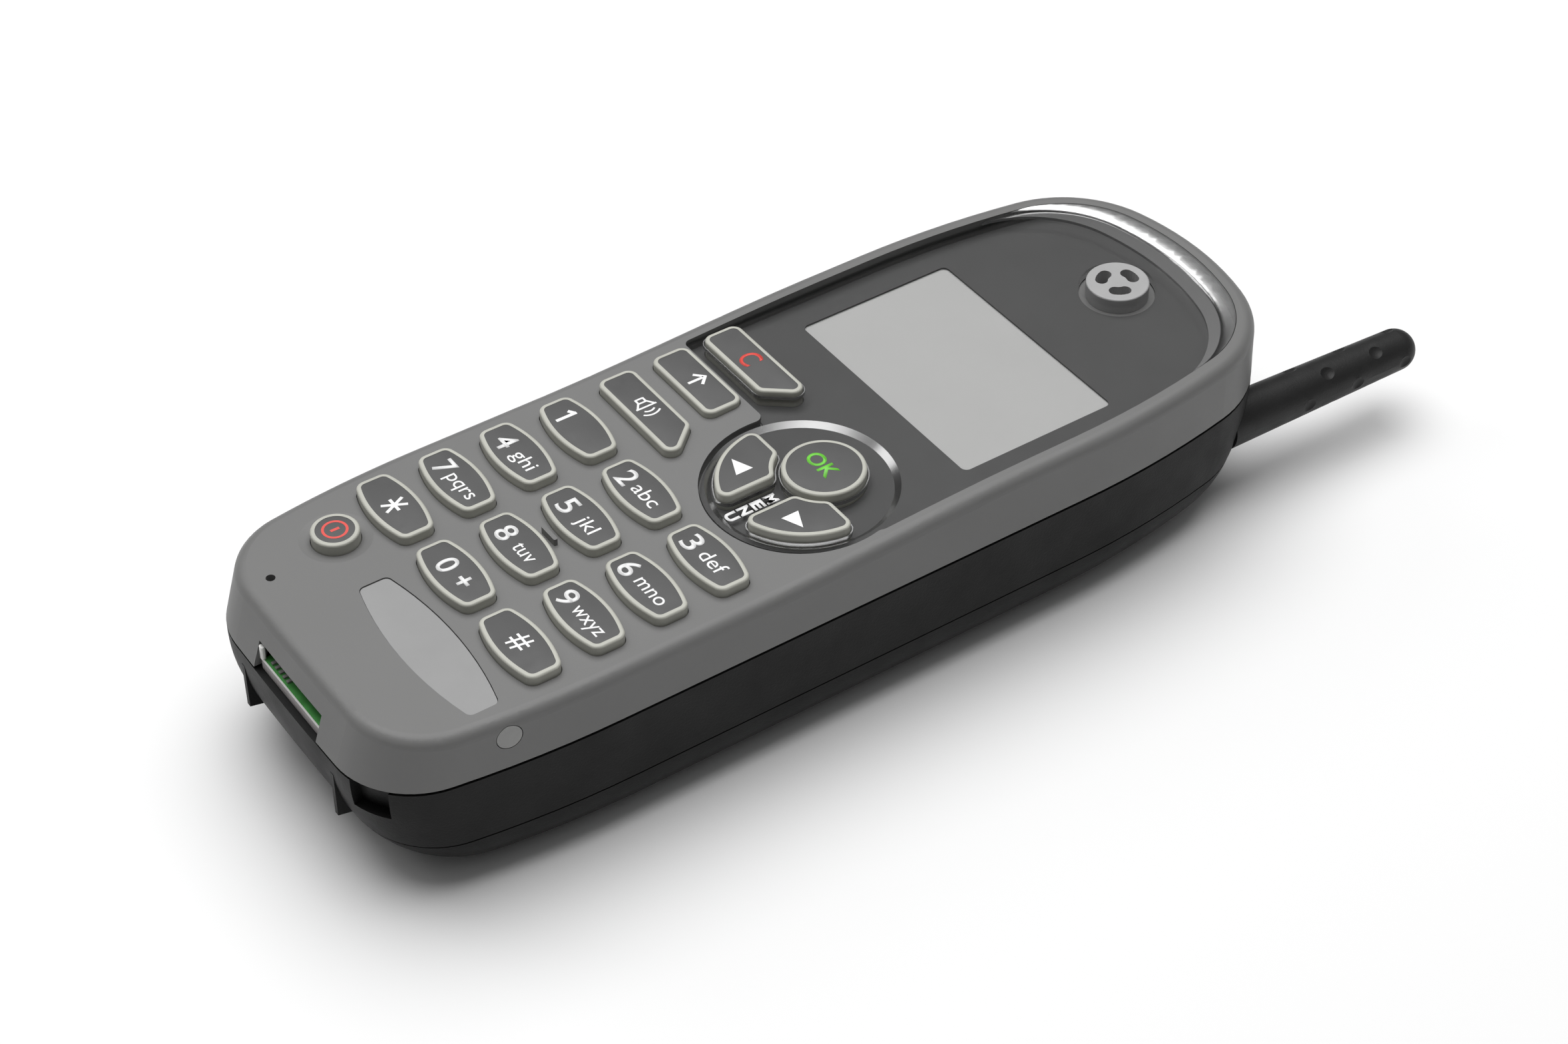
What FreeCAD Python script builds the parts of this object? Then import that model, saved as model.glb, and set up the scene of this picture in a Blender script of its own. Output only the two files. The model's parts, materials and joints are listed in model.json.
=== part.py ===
import FreeCAD, Part
import math
import os
from FreeCAD import Vector

# Early mobile phone with a stub antenna. Millimetres.
# X runs across the phone, Y along it towards the antenna, Z up out of the keypad.
# The phone lies on its back: Z = 0 is the flat back, and the origin is the middle of its box.

# Body, seen from the front
HALF_WIDTH = 25.0
BOTTOM_Y = -82.6
TOP_Y = 57.9
STRAIGHT_FROM_Y = -50.6
STRAIGHT_TO_Y = 18.5
LOW_SIDE_RADIUS, LOW_CORNER_RADIUS, LOW_END_RADIUS = 145.0, 11.1, 600.0
TOP_SIDE_RADIUS, TOP_CORNER_RADIUS, TOP_END_RADIUS = 135.0, 16.85, 40.2

# Heights of the shells
COVER_TOP = 8.0
REAR_BOTTOM = 8.2
REAR_TOP = 18.0
PARTING = 18.4
LIP_TOP = 19.4
CEILING = 23.6
FACE = 25.65
RIM = 26.85
RAMP_FROM_Y, RAMP_TO_Y = -32.0, 10.0
EDGE_RADIUS = 1.6
WALL = 1.6
DRAFT = 0.034
END_LEAN = 0.32

# Rounding of the back: side radius, and the ellipse of both ends
BACK_SIDE_RADIUS = 8.0
BACK_END_HEIGHT = 17.0
BACK_END_DEPTH = 15.0

# Display lens and navigation disc
RIM_INSET = 2.7
LENS_LOW_Y = -11.1
LENS_BOTTOM, LENS_TOP = 24.7, 25.9
SHELF_TOP = 24.4
# Crown of the lens: body outlines drawn in, slid down the phone, and their heights
CROWN_LEDGE = (1.88, 5.8)
CROWN_MOULDING = [(2.32, 3.2, 26.35), (2.34, 3.0, 26.55), (2.42, 2.3, 26.74), (2.55, 1.3, 26.83), (2.7, 0.3, 26.86)]
NAV_X, NAV_Y, NAV_RADIUS = 9.28, -14.2, 12.93
NAV_FLOOR_RADIUS, NAV_BEVEL_RADIUS = 11.4, 12.28
NAV_FLOOR = 25.3
SCREEN_HALF_WIDTH, SCREEN_FROM_Y, SCREEN_TO_Y = 17.8, 4.6, 28.1
EARPIECE_Y, EARPIECE_HOLE_RADIUS, GRILLE_RADIUS = 43.4, 5.13, 4.25

# Keys: the dark inlay is the driving size, the pale rim stands round it
KEY_TOP = 27.0
KEY_RIM = 0.6
KEY_GAP = 0.1
KEY_FLANGE = 0.8
# Collars of the lens that stand round its keys, outside their inlays
COLLAR, COLLAR_HEIGHT = 0.9, 0.65
FLANGE_TOP, FLANGE_BOTTOM = 23.45, 22.65
COLUMN_PITCH, ROW_PITCH = 14.8, 8.812
FIRST_ROW_Y = -32.0
DIAL_WIDTH, DIAL_MID_HEIGHT, DIAL_END_HEIGHT = 11.14, 5.3, 3.8
OK_Y, OK_RADIUS = -10.97, 4.78
POWER_X, POWER_Y, POWER_RADIUS = -14.96, -66.63, 2.47
CONTROL_LEFT_X = -20.4

# Name plate (middle, width, height in the middle and at the ends) and microphone hole
NAME_PLATE = (7.8, -66.9, 26.1, 7.2, 4.2)
MIC_X, MIC_Y, MIC_HOLE_RADIUS = -13.0, -76.6, 0.6

# Boards and the layers between them
KEYPAD_BOARD = (18.6, 19.6)
MAIN_BOARD = (12.2, 13.2)
MAT_SKIN = (20.25, 20.85)
MAT_POST_TOP = 21.7
SCREWS = [(sx * x, y) for x, y in ((18.3, -73.5), (21.2, -0.5), (12.5, 39.5)) for sx in (-1, 1)]

# Antenna: its axis passes through this point and leans back
ANTENNA_X, ANTENNA_Y, ANTENNA_Z = 17.4, 56.0, 11.0
ANTENNA_TILT = 2.4
ANTENNA_BASE_RADIUS, ANTENNA_TIP_RADIUS = 3.5, 2.96
ANTENNA_START_Y, ANTENNA_TIP_Y = 48.2, 82.6
DIMPLE_RADIUS, DIMPLE_DEPTH = 1.15, 0.4
DIMPLE_START_Y, DIMPLE_PITCH = 61.3, 8.9

# Battery pack
LATCH_Y = 38.0
CELL_STARTS, CELL_LENGTH = (-62.5, -16.5), 45.0

# Side jack and bottom connector
JACK_Y, JACK_Z, JACK_COVER_RADIUS = -65.6, 22.95, 1.6
NOTCH_FROM_X, NOTCH_TO_X, NOTCH_TOP = -7.6, 7.8, 22.1


def save(node, *solids):
    shape = solids[0] if len(solids) == 1 else Part.makeCompound(list(solids))
    shape.exportStep(os.path.join("parts", node + ".step"))


def box(x0, x1, y0, y1, z0, z1):
    return Part.makeBox(x1 - x0, y1 - y0, z1 - z0, Vector(x0, y0, z0))


def cylinder(x, y, z0, z1, radius):
    return Part.makeCylinder(radius, z1 - z0, Vector(x, y, z0))


def prism(face, z0, z1):
    return face.translated(Vector(0, 0, z0)).extrude(Vector(0, 0, z1 - z0))


def fused(*solids):
    return solids[0].multiFuse(list(solids[1:])).removeSplitter()


def arc(centre, start, end):
    """Arc under half a turn from start to end about a centre, in the XY plane."""
    middle = (start - centre) + (end - centre)
    middle.normalize()
    return Part.Arc(start, centre + middle * (start - centre).Length, end).toShape()


def grown(face, distance):
    """Face with its outline moved out, its corners rounded."""
    return face.makeOffset2D(distance) if distance else face


def rounded_box(x0, x1, y0, y1, z0, z1, radius):
    solid = box(x0, x1, y0, y1, z0, z1)
    upright = [edge for edge in solid.Edges if abs(edge.tangentAt(edge.FirstParameter).z) > 0.9]
    return solid.makeFillet(radius, upright)


# ---- Body outline -------------------------------------------------------

def corner_centre(side, side_radius, end, end_radius, corner_radius, up):
    """Centre of the corner arc that is tangent inside the side arc and the end arc."""
    from_side = side_radius - corner_radius
    from_end = end_radius - corner_radius
    gap = end - side
    along = (from_side ** 2 - from_end ** 2 + gap.Length ** 2) / (2 * gap.Length)
    off = math.sqrt(from_side ** 2 - along ** 2)
    gap.normalize()
    return side + gap * along + Vector(-gap.y, gap.x, 0) * off * up


def half_end(end_y, side_y, side_radius, corner_radius, end_radius, inset, up):
    """Right-hand side arc, corner arc and the whole end arc of one end, from side to end."""
    side = Vector(HALF_WIDTH - side_radius, side_y, 0)
    end = Vector(0, end_y - up * end_radius, 0)
    corner = corner_centre(side, side_radius, end, end_radius, corner_radius, up)
    to_corner = (corner - side).normalize()
    to_end = (corner - end).normalize()
    on_side = corner + to_corner * (corner_radius - inset)
    on_end = corner + to_end * (corner_radius - inset)
    mirrored = Vector(-on_end.x, on_end.y, 0)
    start = Vector(HALF_WIDTH - inset, side_y, 0)
    return [arc(side, start, on_side), arc(corner, on_side, on_end)], arc(end, on_end, mirrored)


def outline(inset=0.0, bottom_lean=0.0):
    """Closed outline of the body at z = 0, drawn in by inset all round."""
    low, low_end = half_end(BOTTOM_Y + bottom_lean, STRAIGHT_FROM_Y, LOW_SIDE_RADIUS,
                            LOW_CORNER_RADIUS, LOW_END_RADIUS, inset, -1)
    top, top_end = half_end(TOP_Y, STRAIGHT_TO_Y, TOP_SIDE_RADIUS,
                            TOP_CORNER_RADIUS, TOP_END_RADIUS, inset, 1)
    x = HALF_WIDTH - inset
    right = low + top + [Part.makeLine(Vector(x, STRAIGHT_FROM_Y, 0), Vector(x, STRAIGHT_TO_Y, 0))]
    left = [edge.mirror(Vector(0, 0, 0), Vector(1, 0, 0)) for edge in right]
    return Part.Wire(Part.__sortEdges__(right + left + [low_end, top_end]))


def outline_face(inset):
    return Part.Face(outline(inset))


def front_solid(inset, z0, z1):
    """Front shell's solid form between two heights: drafted walls, bottom end leaning in."""
    sections = []
    for z in (z0, z1):
        rise = z - PARTING
        wire = outline(inset + DRAFT * rise, (END_LEAN - DRAFT) * rise)
        sections.append(wire.translated(Vector(0, 0, z)))
    return Part.makeLoft(sections, True, True)


def side_draw(z):
    depth = max(0.0, BACK_SIDE_RADIUS - z)
    return BACK_SIDE_RADIUS - math.sqrt(BACK_SIDE_RADIUS ** 2 - depth ** 2)


def end_draw(z):
    depth = max(0.0, 1 - z / BACK_END_HEIGHT)
    return BACK_END_DEPTH * (1 - math.sqrt(1 - depth ** 2))


def rear_section(z, inset, lift=0.0):
    """Outline of the rounded back at height z; lift sinks the rounding for an inner wall."""
    half_length = (TOP_Y - BOTTOM_Y) / 2
    middle = (TOP_Y + BOTTOM_Y) / 2
    scale_x = (HALF_WIDTH - side_draw(z - lift) - inset) / HALF_WIDTH
    scale_y = (half_length - end_draw(z - lift) - inset) / half_length
    matrix = FreeCAD.Matrix()
    matrix.scale(scale_x, scale_y, 1)
    matrix.move(Vector(0, middle * (1 - scale_y), z))
    return outline().transformGeometry(matrix)


def rear_solid(heights, inset=0.0, lift=0.0):
    return Part.makeLoft([rear_section(z, inset, lift) for z in heights], True, False, False, 3)


def antenna_axis(solid):
    """Turn a solid made along +Z from the origin onto the antenna's line."""
    placed = solid.copy()
    placed.rotate(Vector(0, 0, 0), Vector(1, 0, 0), -90 - ANTENNA_TILT)
    placed.translate(Vector(ANTENNA_X, ANTENNA_Y, ANTENNA_Z))
    return placed


def antenna_cylinder(y0, y1, r0, r1=None):
    """Round bar on the antenna's line between two places along Y."""
    length = y1 - y0
    start = Vector(0, 0, y0 - ANTENNA_Y)
    if r1 is None:
        return antenna_axis(Part.makeCylinder(r0, length, start))
    return antenna_axis(Part.makeCone(r0, r1, length, start))


def jack_cylinder(x0, x1, radius):
    return Part.makeCylinder(radius, x1 - x0, Vector(x0, JACK_Y, JACK_Z), Vector(1, 0, 0))


# ---- Key outlines: each is a core whose growth gives the rounded inlay ------

CORE_ROUND = 0.8


def barrel(x, y, width, mid_height, end_height, round_off=CORE_ROUND):
    """Upright flat ends and bulged long sides."""
    w = width / 2 - round_off
    m = mid_height / 2 - round_off
    e = end_height / 2 - round_off
    at = Vector(x, y, 0)
    edges = [Part.Arc(at + Vector(-w, e, 0), at + Vector(0, m, 0), at + Vector(w, e, 0)).toShape(),
             Part.makeLine(at + Vector(w, e, 0), at + Vector(w, -e, 0)),
             Part.Arc(at + Vector(w, -e, 0), at + Vector(0, -m, 0), at + Vector(-w, -e, 0)).toShape(),
             Part.makeLine(at + Vector(-w, -e, 0), at + Vector(-w, e, 0))]
    return Part.Face(Part.Wire(edges))


def bar(low_y, high_y, right_low_x, right_high_x):
    """Control key: upright left end, right end at a slant."""
    r = CORE_ROUND
    corners = [Vector(CONTROL_LEFT_X + r, low_y + r, 0), Vector(right_low_x - r, low_y + r, 0),
               Vector(right_high_x - r, high_y - r, 0), Vector(CONTROL_LEFT_X + r, high_y - r, 0)]
    return Part.Face(Part.makePolygon(corners + corners[:1]))


def disc(x, y, radius):
    return Part.Face(Part.Wire(Part.makeCircle(radius, Vector(x, y, 0))))


def scroll(side):
    """Navigation key: outer edge follows the disc, inner edge is hollowed round the OK key."""
    r = CORE_ROUND
    outer = 10.4 - r
    hollow = 6.9 + r
    top = 2.79 - r
    inner = 2.71 + r
    nav = Vector(0, NAV_Y, 0)
    ok = Vector(0, OK_Y, 0)
    top_y = NAV_Y + top - 3.2
    a = Vector(math.sqrt(outer ** 2 - (top_y - NAV_Y) ** 2), top_y, 0)
    b = Vector(math.sqrt(hollow ** 2 - (top_y - OK_Y) ** 2), top_y, 0)
    c = Vector(inner, OK_Y - math.sqrt(hollow ** 2 - inner ** 2), 0)
    d = Vector(inner, NAV_Y - math.sqrt(outer ** 2 - inner ** 2), 0)
    edges = [Part.makeLine(a, b), arc(ok, b, c), Part.makeLine(c, d), arc(nav, d, a)]
    face = Part.Face(Part.Wire(edges))
    if side < 0:
        face = face.mirror(Vector(0, 0, 0), Vector(1, 0, 0))
    return face.translated(Vector(NAV_X, 0, 0))


def dial_keys():
    names = ["key_1", "key_2", "key_3", "key_4", "key_5", "key_6",
             "key_7", "key_8", "key_9", "key_star", "key_0", "key_hash"]
    for index, name in enumerate(names):
        row, column = divmod(index, 3)
        x = (column - 1) * COLUMN_PITCH
        y = FIRST_ROW_Y - row * ROW_PITCH
        yield name, barrel(x, y, DIAL_WIDTH, DIAL_MID_HEIGHT, DIAL_END_HEIGHT)


FACE_KEYS = dict(dial_keys())
FACE_KEYS["key_mute"] = bar(-24.9, -20.56, -4.6, -7.0)
FACE_KEYS["key_arrow"] = bar(-16.68, -12.33, -7.93, -7.93)
FACE_KEYS["key_power"] = disc(POWER_X, POWER_Y, POWER_RADIUS - CORE_ROUND)
LENS_KEYS = {"key_clear": bar(-8.66, -4.31, -7.6, -5.4)}
NAV_KEYS = {"key_ok": disc(NAV_X, OK_Y, OK_RADIUS - CORE_ROUND),
            "key_scroll_left": scroll(-1),
            "key_scroll_right": scroll(1)}
ALL_KEYS = {**FACE_KEYS, **LENS_KEYS, **NAV_KEYS}


def inlay(core, grow=0.0):
    return grown(core, CORE_ROUND + grow)


def key_solid(name, core):
    """Cap with a rounded top edge, a shallow pocket for the inlay, and a flange underneath."""
    nav = name in NAV_KEYS
    flange_top = 24.2 if nav else FLANGE_TOP
    flange = 0.33 if nav else KEY_FLANGE
    cap = prism(inlay(core, KEY_RIM), flange_top - 0.1, KEY_TOP)
    top_edges = [edge for edge in cap.Edges if edge.BoundBox.ZMin > KEY_TOP - 0.01]
    cap = cap.makeFillet(0.32, top_edges)
    skirt = prism(inlay(core, KEY_RIM + flange), FLANGE_BOTTOM, flange_top)
    pocket = prism(inlay(core), KEY_TOP - 0.15, KEY_TOP + 1)
    return fused(cap, skirt).cut(pocket)


# ---- Front shell --------------------------------------------------------

def face_height(y):
    t = min(1.0, max(0.0, (y - RAMP_FROM_Y) / (RAMP_TO_Y - RAMP_FROM_Y)))
    return FACE + (RIM - FACE) * t * t * (3 - 2 * t)


def above_face():
    """Everything above the face, which climbs in a smooth ramp to the rim round the lens."""
    steps = 6
    ys = [RAMP_FROM_Y + (RAMP_TO_Y - RAMP_FROM_Y) * i / steps for i in range(steps + 1)]
    ramp = Part.BSplineCurve()
    ramp.interpolate(Points=[Vector(-40, y, face_height(y)) for y in ys],
                     InitialTangent=Vector(0, 1, 0), FinalTangent=Vector(0, 1, 0))
    corners = [Vector(-40, 70, RIM), Vector(-40, 70, 40), Vector(-40, -95, 40), Vector(-40, -95, FACE)]
    path = Part.makePolygon([ramp.EndPoint] + corners + [ramp.StartPoint])
    return Part.Face(Part.Wire([ramp.toShape()] + path.Edges)).extrude(Vector(80, 0, 0))


def top_rim_edges(solid):
    """Edges that lie between the upward faces and the walls."""
    upward = [f for f in solid.Faces if f.normalAt(*f.Surface.parameter(f.CenterOfMass)).z > 0.8]
    edges = [edge for face in upward for edge in face.Edges]
    return [e for e in edges if sum(e.isSame(other) for other in edges) == 1]


def lens_plan(grow):
    """Lens outline: the rim's inner edge, a straight lower edge and the navigation disc."""
    window = outline_face(RIM_INSET + 0.1).common(Part.makePlane(60, 80, Vector(-30, LENS_LOW_Y, 0)))
    joined = fused(prism(window, 0, 1), prism(disc(NAV_X, NAV_Y, NAV_RADIUS), 0, 1))
    plan = [face for face in joined.Faces if face.BoundBox.ZMax < 0.01][0]
    return plan.makeOffset2D(1.2).makeOffset2D(-2.0).makeOffset2D(0.8 + grow)


def front_housing():
    shell = front_solid(0, PARTING, 28).cut(above_face())
    shell = shell.makeFillet(EDGE_RADIUS, top_rim_edges(shell))
    shell = shell.cut(front_solid(WALL, PARTING - 1, CEILING))
    shell = shell.cut(prism(lens_plan(0.1), SHELF_TOP, 30))
    windows = [box(-19, 19, SCREEN_FROM_Y - 1.2, SCREEN_TO_Y + 1.2, CEILING - 1, 30),
               cylinder(NAV_X, NAV_Y, CEILING - 1, 30, 11.75),
               cylinder(0, EARPIECE_Y, CEILING - 1, 30, 3.4),
               prism(inlay(LENS_KEYS["key_clear"], KEY_RIM + KEY_GAP), CEILING - 1, 30)]
    for core in FACE_KEYS.values():
        windows.append(prism(inlay(core, KEY_RIM + KEY_GAP), CEILING - 1, 30))
    plate = grown(barrel(*NAME_PLATE), CORE_ROUND + 0.08)
    windows.append(prism(plate, FACE - 0.6, 30))
    dish_rim, dish_depth = 4.6, 0.45
    dish = (dish_rim ** 2 + dish_depth ** 2) / (2 * dish_depth)
    windows.append(Part.makeSphere(dish, Vector(POWER_X, POWER_Y, FACE - dish_depth + dish)))
    windows.append(cylinder(MIC_X, MIC_Y, CEILING - 1, 30, MIC_HOLE_RADIUS))
    windows.append(jack_cylinder(20, 30, JACK_COVER_RADIUS + 0.1))
    windows.append(jack_cylinder(14.8, 22, JACK_COVER_RADIUS + 0.12))
    windows.append(box(NOTCH_FROM_X, NOTCH_TO_X, BOTTOM_Y - 2, BOTTOM_Y + 4.5, PARTING - 1, NOTCH_TOP))
    shell = shell.cut(Part.makeCompound(windows))
    for x, y in SCREWS:
        boss = cylinder(x, y, PARTING, CEILING + 0.2, 2.0).cut(cylinder(x, y, 0, CEILING - 0.6, 0.9))
        shell = shell.fuse(boss)
    nib = rounded_box(-1.6, 1.55, -45.55, -45.0, FACE - 0.2, FACE + 1.0, 0.2)
    return shell.fuse(nib).removeSplitter()


def name_plate():
    return prism(grown(barrel(*NAME_PLATE), CORE_ROUND), FACE - 0.58, FACE - 0.15)


def lens_crown():
    """Raised crescent round the top of the lens: a ledge, then a convex moulding up to the rim."""
    region = lens_plan(0).common(Part.makePlane(60, 40, Vector(-30, 30, 0)))
    block = prism(region, LENS_TOP - 0.1, CROWN_MOULDING[-1][2])
    inset, slide = CROWN_LEDGE
    block = block.cut(prism(outline_face(inset).translated(Vector(0, -slide, 0)), LENS_TOP - 1, 30))
    sections = [outline(inset).translated(Vector(0, -slide, z)) for inset, slide, z in CROWN_MOULDING]
    block = block.cut(Part.makeLoft(sections, True, False, False, 3))
    return max(block.Solids, key=lambda solid: solid.Volume)


def display_lens():
    plate = prism(lens_plan(0), LENS_BOTTOM, LENS_TOP)
    bevel = Part.makeCone(NAV_FLOOR_RADIUS, NAV_BEVEL_RADIUS, LENS_TOP - NAV_FLOOR,
                          Vector(NAV_X, NAV_Y, NAV_FLOOR))
    plate = plate.cut(bevel)
    collars = [prism(inlay(core, COLLAR), NAV_FLOOR - 0.1, NAV_FLOOR + COLLAR_HEIGHT) for core in NAV_KEYS.values()]
    collars += [prism(inlay(core, COLLAR), LENS_TOP - 0.1, LENS_TOP + COLLAR_HEIGHT - 0.2)
                for core in LENS_KEYS.values()]
    plate = fused(plate, lens_crown(), *collars)
    holes = [prism(inlay(core, KEY_RIM + 0.15), 20, 30) for core in {**LENS_KEYS, **NAV_KEYS}.values()]
    holes.append(cylinder(0, EARPIECE_Y, 20, 30, EARPIECE_HOLE_RADIUS))
    return plate.cut(Part.makeCompound(holes))


def display_mask():
    sheet = prism(lens_plan(-0.15), SHELF_TOP + 0.05, LENS_BOTTOM - 0.05)
    holes = [prism(inlay(core, KEY_RIM + KEY_GAP), 20, 30) for core in {**LENS_KEYS, **NAV_KEYS}.values()]
    holes.append(cylinder(0, EARPIECE_Y, 20, 30, EARPIECE_HOLE_RADIUS))
    holes.append(rounded_box(-SCREEN_HALF_WIDTH, SCREEN_HALF_WIDTH, SCREEN_FROM_Y, SCREEN_TO_Y, 20, 30, 0.9))
    return sheet.cut(Part.makeCompound(holes))


def earpiece_grille():
    """Round insert with three curved slots round its middle."""
    insert = cylinder(0, EARPIECE_Y, SHELF_TOP + 0.05, RIM - 0.21, GRILLE_RADIUS)
    top = [edge for edge in insert.Edges if edge.BoundBox.ZMin > RIM - 0.3]
    insert = insert.makeFillet(0.2, top)
    for turn in (90, 210, 330):
        for step in range(-2, 3):
            angle = math.radians(turn + 9 * step)
            x = 2.15 * math.cos(angle)
            y = EARPIECE_Y + 2.15 * math.sin(angle)
            insert = insert.cut(cylinder(x, y, 20, 30, 0.85))
    return insert


# ---- Rear shell and battery pack ------------------------------------------

def fin(side):
    """Thin rib on the bottom end, whose front edge is flush with the end wall."""
    profile = [Vector(0, BOTTOM_Y + 0.1, 15.9), Vector(0, BOTTOM_Y + 0.1, 9.1),
               Vector(0, BOTTOM_Y + 4.0, REAR_BOTTOM), Vector(0, BOTTOM_Y + 4.0, 15.9)]
    face = Part.Face(Part.makePolygon(profile + profile[:1]))
    return face.translated(Vector(side * 11.1 - 0.35, 0, 0)).extrude(Vector(0.7, 0, 0))


def strap_recess():
    """Pocket for a wrist strap in the right-hand bottom corner, open at the parting line."""
    wedge = [Vector(13, -71, 0), Vector(15.4, -84, 0), Vector(21.8, -82.6, 0), Vector(15, -73, 0)]
    plan = Part.Face(Part.makePolygon(wedge + wedge[:1]))
    return prism(plan, 13.7, 20).cut(rear_solid((10, 12, 14, 16, 21), 1.25))


def rear_housing():
    outer = rear_solid((REAR_BOTTOM, 10, 12, 14, 16, REAR_TOP))
    shell = outer.cut(rear_solid((REAR_BOTTOM + 1.2, 11, 13, 15, 17, REAR_TOP + 1), 1.8))
    lip = front_solid(1.75, REAR_TOP - 0.9, LIP_TOP).cut(front_solid(2.55, REAR_TOP - 2, LIP_TOP + 1))
    lip = lip.cut(box(NOTCH_FROM_X - 0.6, NOTCH_TO_X + 0.6, -90, -70, REAR_TOP - 1, 20))
    lip = lip.cut(Part.makeCompound([cylinder(x, y, PARTING - 0.1, 20, 2.2) for x, y in SCREWS]))
    shell = shell.fuse([lip, fin(-1), fin(1)])
    shell = shell.cut(strap_recess())
    columns = [cylinder(x, y, REAR_BOTTOM + 1, REAR_TOP, 2.6) for x, y in SCREWS]
    shell = shell.fuse(columns)
    cuts = []
    for x, y in SCREWS:
        cuts.append(cylinder(x, y, 0, REAR_BOTTOM + 2.0, 2.05))
        cuts.append(cylinder(x, y, 0, 30, 1.05))
    cuts.append(antenna_cylinder(ANTENNA_START_Y - 0.25, ANTENNA_START_Y + 20, ANTENNA_BASE_RADIUS + 0.2))
    cuts.append(antenna_cylinder(41.5, ANTENNA_START_Y + 20, 2.75))
    cuts.append(box(-13.2, 13.2, -40.2, -23.8, REAR_BOTTOM - 1, REAR_BOTTOM + 1.5))
    cuts.append(box(-8.4, 8.4, 16.8, 20.2, REAR_BOTTOM - 1, REAR_BOTTOM + 1.5))
    cuts.append(box(-4.6, 4.6, LATCH_Y - 8, LATCH_Y + 1.4, REAR_BOTTOM - 1, REAR_BOTTOM + 1.5))
    return shell.cut(Part.makeCompound(cuts)).removeSplitter()


def back_heights(z0, z1, steps):
    """Heights that crowd towards z0, where the back curves fastest."""
    return [z0 + (z1 - z0) * (1 - math.cos(math.pi / 2 * i / steps)) for i in range(steps + 1)]


def battery_cover():
    outer = rear_solid(back_heights(0, COVER_TOP, 6))
    tray = outer.cut(rear_solid(back_heights(1.3, COVER_TOP + 0.6, 5), 1.3, 1.3))
    tray = tray.cut(antenna_cylinder(ANTENNA_START_Y - 0.25, 70, ANTENNA_BASE_RADIUS + 0.2))
    tray = tray.cut(box(-6.3, 6.3, LATCH_Y - 4.6, LATCH_Y + 2.8, -1, 1.4))
    ledge = box(-9, 9, LATCH_Y - 8.2, LATCH_Y - 7.2, 1.2, 6.8)
    return tray.fuse(ledge).removeSplitter()


def battery_lid():
    lid = Part.makeLoft([rear_section(z, 1.42, 1.3) for z in (7.0, 7.8)], True, True)
    lid = lid.cut(box(-5.4, 5.4, LATCH_Y - 2.6, LATCH_Y + 1.4, 6, 9))
    return lid.cut(antenna_cylinder(ANTENNA_START_Y - 0.25, 70, ANTENNA_BASE_RADIUS + 0.4))


def battery_cells():
    cells = []
    for start in CELL_STARTS:
        cell = box(-16.4, 16.4, start, start + CELL_LENGTH, 1.6, 6.7)
        cells.append(cell.makeFillet(1.1, cell.Edges))
    return cells


def battery_latch():
    """Thumb slide in the back with a stem that stands into the shell's slot."""
    slide = rounded_box(-6.0, 6.0, LATCH_Y - 2.5, LATCH_Y + 2.5, 0.3, 1.2, 1.0)
    ribs = [box(-4.5, 4.5, LATCH_Y + dy, LATCH_Y + dy + 0.5, 0.12, 0.4) for dy in (-1.6, -0.25, 1.1)]
    stem = box(-4.0, 4.0, LATCH_Y - 0.9, LATCH_Y + 0.9, 1.2, 9.2)
    flange = box(-7.4, 7.4, LATCH_Y - 2.5, LATCH_Y + 2.5, 1.5, 2.2)
    return fused(slide, stem, flange, *ribs)


def latch_spring():
    """Compression spring behind the latch, drawn at its pressed length."""
    turns, wire = 4, 0.22
    length = 4.3
    path = Part.makeHelix(length / turns, length, 1.2)
    profile = Part.Wire(Part.makeCircle(wire, Vector(1.2, 0, 0), Vector(0, 1, 0)))
    coil = Part.Wire(path).makePipeShell([profile], True, True)
    coil.rotate(Vector(0, 0, 0), Vector(1, 0, 0), -90)
    coil.translate(Vector(0, LATCH_Y - 7.0, 4.4))
    return coil


# ---- Boards and electrical parts ------------------------------------------

def screw_holes(radius):
    return Part.makeCompound([cylinder(x, y, 0, 30, radius) for x, y in SCREWS])


def keypad_board():
    board = prism(outline_face(3.0), *KEYPAD_BOARD)
    tab = box(NOTCH_FROM_X + 0.5, NOTCH_TO_X - 0.5, BOTTOM_Y + 1.17, BOTTOM_Y + 4, *KEYPAD_BOARD)
    return board.fuse(tab).cut(screw_holes(2.35)).removeSplitter()


def main_board():
    board = prism(outline_face(4.6), *MAIN_BOARD)
    board = board.cut(box(12.5, 26, 41.5, 60, 10, 15))
    return board.cut(screw_holes(2.95)).removeSplitter()


def can(x0, x1, y0, y1, z0, z1, wall=0.3):
    """Shield can: a thin box open below."""
    outer = rounded_box(x0, x1, y0, y1, z0, z1, 0.8)
    return outer.cut(box(x0 + wall, x1 - wall, y0 + wall, y1 - wall, z0 - 1, z1 - wall))


CHIPS = [(-12, -2, -66, -56, 1.2), (2, 14, -64, -52, 1.2), (-13, -4, -48, -40, 1.0),
         (0, 9, -46, -36, 1.4), (-11, -1, 8, 18, 1.2), (4, 12, 6, 14, 1.0), (-10, -4, 24, 30, 0.9)]


def board_chips():
    return [box(x0, x1, y0, y1, MAIN_BOARD[1], MAIN_BOARD[1] + h) for x0, x1, y0, y1, h in CHIPS]


def keypad_leds():
    spots = [(sx * COLUMN_PITCH / 2, FIRST_ROW_Y - (row + 0.5) * ROW_PITCH) for row in range(3) for sx in (-1, 1)]
    spots += [(-3.5, -14.0), (-14.0, -10.5), (16.5, -7.5)]
    z = KEYPAD_BOARD[1] + 0.12
    return [box(x - 0.8, x + 0.8, y - 0.4, y + 0.4, z, z + 0.45) for x, y in spots]


def mat_plan():
    return outline_face(3.6).common(Part.makePlane(60, 67.2, Vector(-30, -70.8, 0))).Faces[0]


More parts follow.
